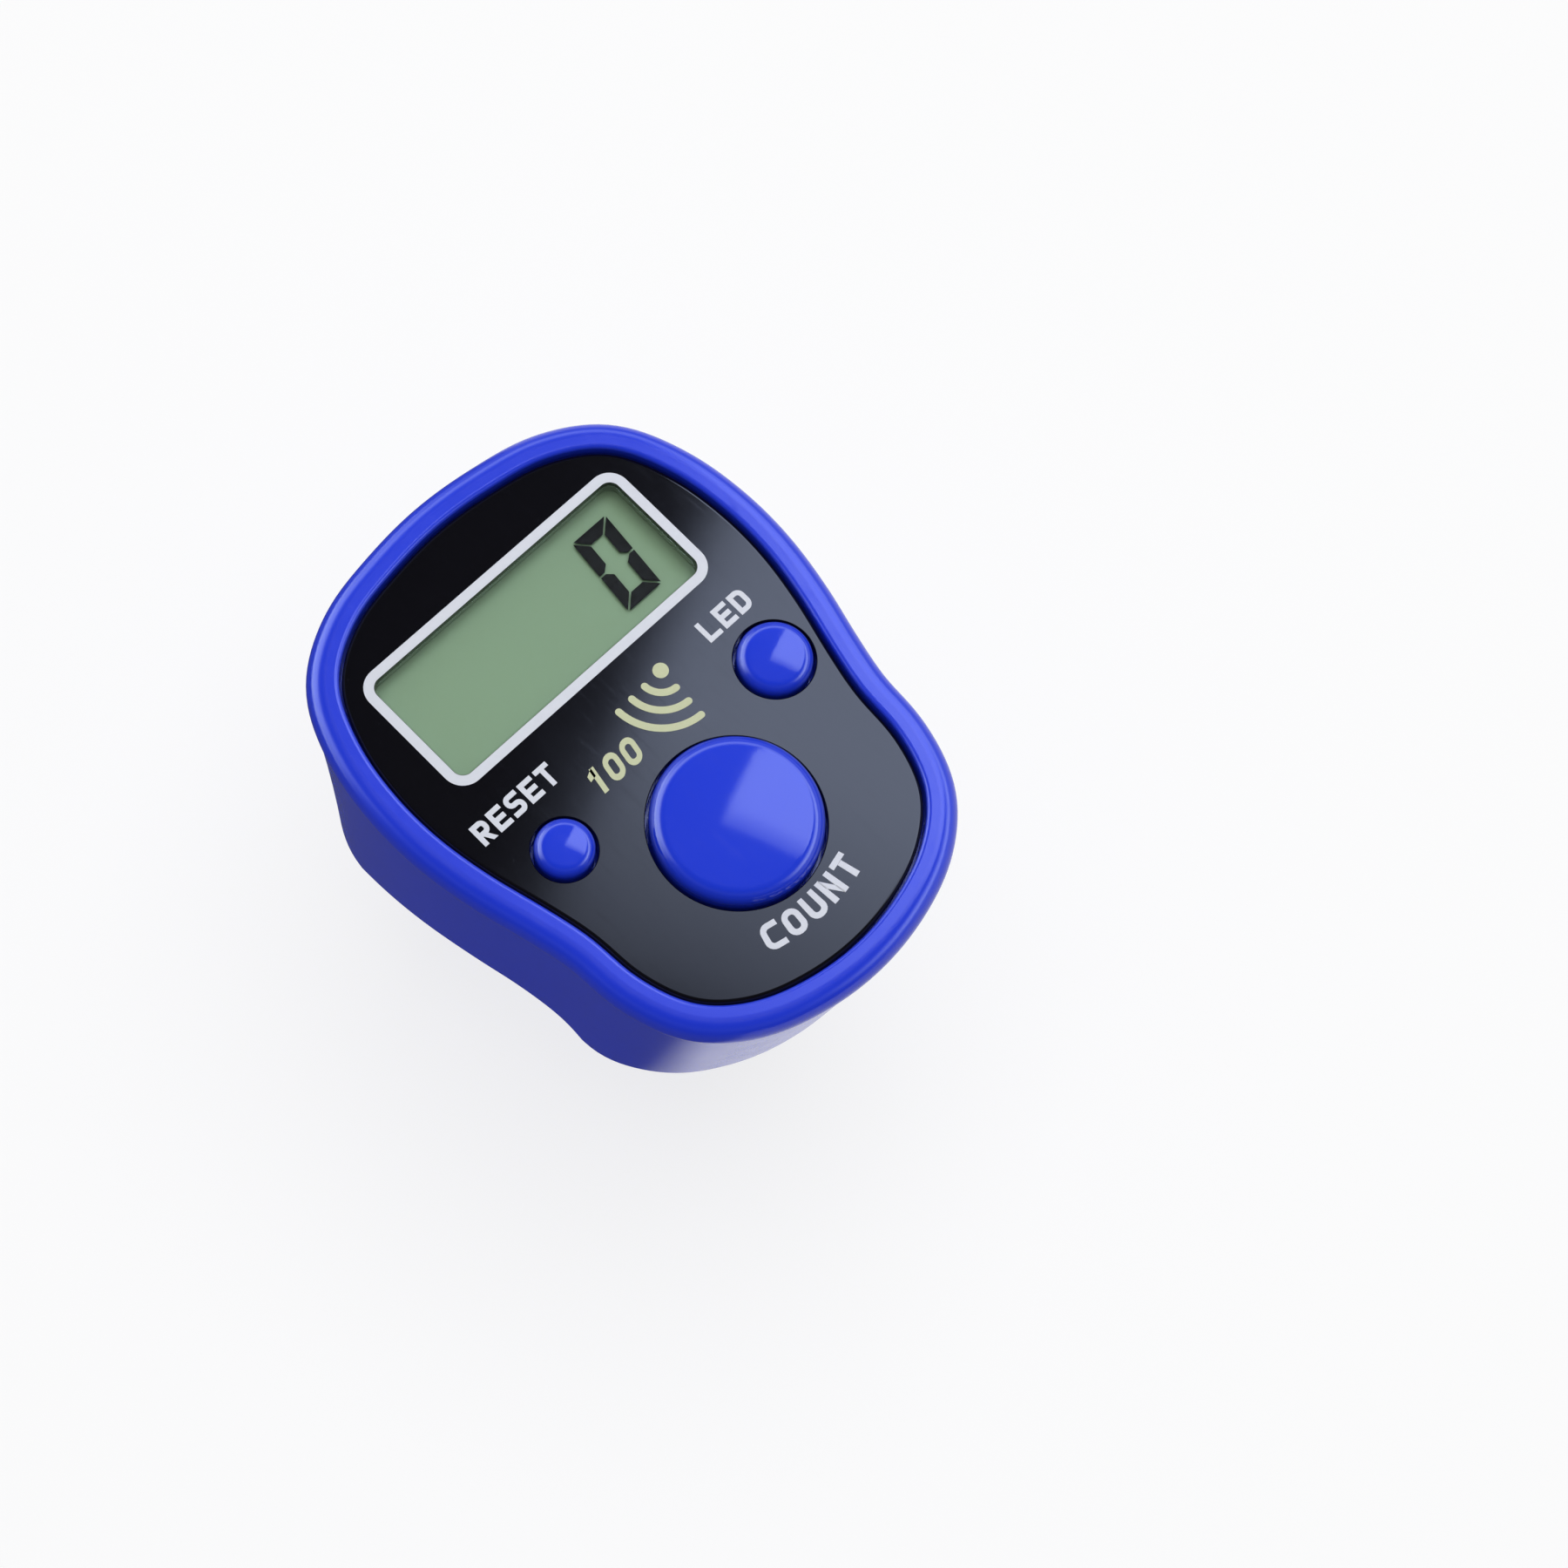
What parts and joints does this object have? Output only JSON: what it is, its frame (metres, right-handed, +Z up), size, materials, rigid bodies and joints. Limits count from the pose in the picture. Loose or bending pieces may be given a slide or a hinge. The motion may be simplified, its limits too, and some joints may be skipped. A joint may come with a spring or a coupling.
{
  "type": "digital finger tally counter",
  "caption": "Finger-worn digital tally counter: pear-shaped case with display, three push buttons, saddle back with battery door and an adjustable strap loop.",
  "frame": {"origin": "on the surface that the counter stands on, under the middle of its bounding box: the flat underside of the strap", "axes": "+X along the finger, to the right of the display; +Y towards the display end; +Z up, out of the face"},
  "size_m": [0.0312, 0.0402, 0.0344],
  "materials": {
    "case_blue": "gloss moulded ABS, deep blue",
    "button_blue": "gloss moulded ABS, bright blue",
    "strap_blue": "soft satin PVC, blue",
    "black_acrylic": "polished black acrylic",
    "clear_acrylic": "clear polished acrylic",
    "display_grey": "satin grey-green display film",
    "display_glass": "thin display glass",
    "white_plastic": "satin white plastic",
    "grey_rubber": "matt silicone rubber, grey",
    "black_rubber": "matt carbon-loaded rubber",
    "board_green": "green solder mask",
    "black_epoxy": "black potting resin",
    "ceramic": "fired ceramic",
    "brass": "plain brass sheet",
    "steel": "bright zinc-plated steel",
    "nickel": "nickel-plated spring strip"
  },
  "bodies": {
    "body": {"upper_casing": "case_blue", "lower_casing": "case_blue", "face_plate": "black_acrylic", "display_window": "clear_acrylic", "lcd_polariser": "display_grey", "lcd_front_glass": "display_glass", "lcd_back_glass": "display_glass", "backlight_panel": "white_plastic", "lcd_holder": "white_plastic", "zebra_strip": "grey_rubber", "count_dome": "grey_rubber", "led_dome": "grey_rubber", "reset_dome": "grey_rubber", "keypad_mat": "grey_rubber", "circuit_board": "board_green", "controller_chip": "black_epoxy", "timing_crystal": "steel", "resistor_1": "black_epoxy", "resistor_2": "black_epoxy", "capacitor": "ceramic", "led_lamp": "white_plastic", "battery_contact_positive": "nickel", "battery_contact_negative": "nickel", "button_cell_1": "steel", "button_cell_2": "steel", "buzzer_disc": "brass", "buzzer_ceramic": "ceramic", "buzzer_spring_1": "nickel", "buzzer_spring_2": "nickel", "casing_screw_1": "steel", "casing_screw_2": "steel", "casing_screw_3": "steel", "casing_screw_4": "steel", "board_screw_1": "steel", "board_screw_2": "steel", "strap_long_half": "strap_blue", "strap_short_half": "strap_blue", "strap_pin_display_end": "steel", "strap_pin_count_end": "steel"},
    "count_key": {"count_button": "button_blue", "count_contact_pill": "black_rubber"},
    "led_key": {"led_button": "button_blue", "led_contact_pill": "black_rubber"},
    "reset_key": {"reset_button": "button_blue", "reset_contact_pill": "black_rubber"},
    "door": {"battery_door": "case_blue", "battery_bridge": "nickel"}
  },
  "joints": [
    {"name": "count_press", "type": "slide", "parent": "body", "child": "count_key", "axis": [0, 0, -1], "range_m": [0, 0.0009], "stiffness_N_per_m": 400, "springref_m": -0.0002, "deforming": ["count_dome"]},
    {"name": "led_press", "type": "slide", "parent": "body", "child": "led_key", "axis": [0, 0, -1], "range_m": [0, 0.0007], "stiffness_N_per_m": 400, "springref_m": -0.0002, "deforming": ["led_dome"]},
    {"name": "reset_press", "type": "slide", "parent": "body", "child": "reset_key", "axis": [0, 0, -1], "range_m": [0, 0.0007], "stiffness_N_per_m": 400, "springref_m": -0.0002, "deforming": ["reset_dome"]},
    {"name": "battery_door_slide", "type": "slide", "parent": "body", "child": "door", "axis": [1, 0, 0], "range_m": [0, 0.004]}
  ]
}
